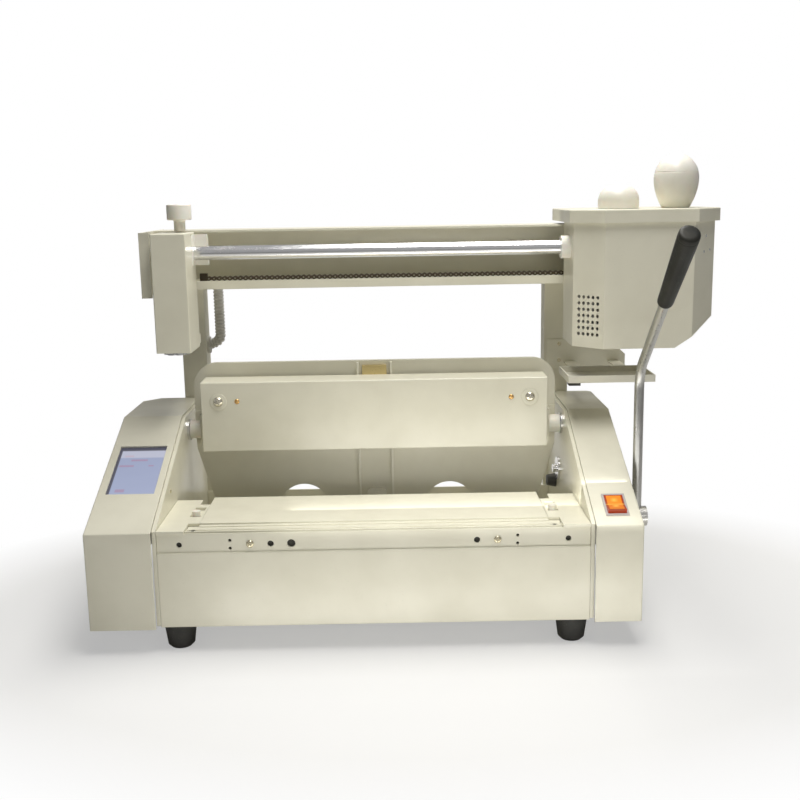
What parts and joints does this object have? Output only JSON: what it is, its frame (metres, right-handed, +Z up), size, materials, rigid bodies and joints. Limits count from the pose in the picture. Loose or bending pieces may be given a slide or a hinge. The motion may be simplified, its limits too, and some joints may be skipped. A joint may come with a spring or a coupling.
{
  "type": "thermal binding machine",
  "caption": "Desktop hot-melt book binder: swivelling clamp, sliding milling head and glue carriage on a guide rod, and a lever-worked cover nip.",
  "frame": {"origin": "centre of the whole machine's bounding box in plan, on the surface it stands on", "axes": "+X to the operator's right along the guide rod, +Y away from the operator, +Z up"},
  "size_m": [0.689, 0.4161, 0.505],
  "materials": {
    "ivory_paint": "glossy powder coat",
    "tray_steel": "satin powder coat",
    "chrome_plate": "polished",
    "bright_steel": "ground and bright",
    "dark_steel": "oiled",
    "white_plastic": "moulded, semi-gloss",
    "black_rubber": "matt",
    "black_plastic": "matt",
    "pale_plastic": "satin",
    "orange_plastic": "translucent, lit from inside",
    "grey_plastic": "satin, ribbed",
    "display_glass": "clear over a lit lilac screen",
    "brass": "bright",
    "cast_aluminium": "cast"
  },
  "bodies": {
    "frame": {"base_pan": "ivory_paint", "power_inlet": "black_plastic", "left_side_plate": "ivory_paint", "right_side_plate": "ivory_paint", "front_band": "ivory_paint", "front_cover": "ivory_paint", "left_cover": "ivory_paint", "right_cover": "ivory_paint", "display_glass": "display_glass", "display_module": "black_plastic", "switch_housing": "pale_plastic", "feet": "black_rubber", "table_plates": "ivory_paint", "nip_bed": "ivory_paint", "front_nip_bar": "ivory_paint", "left_post": "ivory_paint", "right_post": "ivory_paint", "beam": "ivory_paint", "left_end_plate": "ivory_paint", "right_end_plate": "ivory_paint", "guide_rod": "chrome_plate", "drive_chain": "dark_steel", "chain_anchors": "dark_steel", "glue_tray": "tray_steel", "tray_bracket": "ivory_paint", "rubber_buffers": "black_rubber", "wall_rings": "chrome_plate", "frame_screws": "brass", "conduit": "grey_plastic", "conduit_glands": "grey_plastic"},
    "lever": {"lever_shaft": "bright_steel", "lever_hub": "bright_steel", "lever_rod": "bright_steel", "lever_grip": "black_rubber"},
    "nip": {"nip_jaw": "ivory_paint", "nip_pins": "white_plastic"},
    "clamp": {"clamp_board": "ivory_paint", "board_ribs": "ivory_paint", "brass_block": "brass", "pivot_brackets": "ivory_paint", "pivot_pins": "white_plastic"},
    "jaw": {"clamp_jaw": "ivory_paint", "jaw_guide_pins": "chrome_plate", "jaw_screws": "chrome_plate", "jaw_brass_screws": "brass"},
    "mill": {"mill_shell": "ivory_paint", "mill_slider": "white_plastic", "mill_motor": "dark_steel"},
    "cutter": {"mill_cutter": "chrome_plate"},
    "knob": {"mill_knob": "white_plastic"},
    "carriage": {"glue_shell": "ivory_paint", "glue_lid": "ivory_paint", "egg_handle": "white_plastic", "carriage_bushes": "white_plastic", "glue_pot": "cast_aluminium", "drive_belt": "black_rubber"},
    "cap": {"filler_cap": "white_plastic"},
    "sprocket": {"drive_sprocket": "bright_steel"},
    "roller": {"glue_roller": "cast_aluminium"},
    "rocker": {"power_rocker": "orange_plastic"}
  },
  "joints": [
    {"name": "lever_pull", "type": "hinge", "parent": "frame", "child": "lever", "pos_m": [-0.05, -0.02816, 0.11], "axis": [1, 0, 0], "range_deg": [0, 60]},
    {"name": "nip_slide", "type": "slide", "parent": "frame", "child": "nip", "axis": [0, 1, 0], "range_m": [0, 0.022]},
    {"name": "clamp_swing", "type": "hinge", "parent": "frame", "child": "clamp", "pos_m": [-0.05, 0.07684, 0.194], "axis": [1, 0, 0], "range_deg": [0, 180]},
    {"name": "jaw_slide", "type": "slide", "parent": "clamp", "child": "jaw", "axis": [0, -1, 0], "range_m": [0, 0.035]},
    {"name": "mill_slide", "type": "slide", "parent": "frame", "child": "mill", "axis": [1, 0, 0], "range_m": [0, 0.39]},
    {"name": "cutter_spin", "type": "hinge", "parent": "mill", "child": "cutter", "pos_m": [-0.2742, 0.04784, 0.2896], "axis": [0, 0, 1], "continuous": true},
    {"name": "knob_turn", "type": "hinge", "parent": "mill", "child": "knob", "pos_m": [-0.2695, 0.07684, 0.44], "axis": [0, 0, 1], "range_deg": [-180, 180]},
    {"name": "carriage_slide", "type": "slide", "parent": "frame", "child": "carriage", "axis": [1, 0, 0], "range_m": [-0.39, 0]},
    {"name": "sprocket_spin", "type": "hinge", "parent": "carriage", "child": "sprocket", "pos_m": [0.2, 0.12884, 0.38386], "axis": [0, 1, 0], "continuous": true},
    {"name": "roller_spin", "type": "hinge", "parent": "carriage", "child": "roller", "pos_m": [0.2, 0.07834, 0.3028], "axis": [0, 1, 0], "continuous": true},
    {"name": "cap_lift", "type": "slide", "parent": "carriage", "child": "cap", "axis": [0, 0, 1], "range_m": [0, 0.06]},
    {"name": "rocker_press", "type": "hinge", "parent": "frame", "child": "rocker", "pos_m": [0.2005, -0.09909, 0.14455], "axis": [1, 0, 0], "range_deg": [0, 14]}
  ],
  "couplings": [
    {"joint": "nip_slide", "follows": "lever_pull", "m_per_rad": 0.021},
    {"joint": "sprocket_spin", "follows": "carriage_slide", "rad_per_m": 65.965},
    {"joint": "roller_spin", "follows": "carriage_slide", "rad_per_m": 65.965}
  ]
}
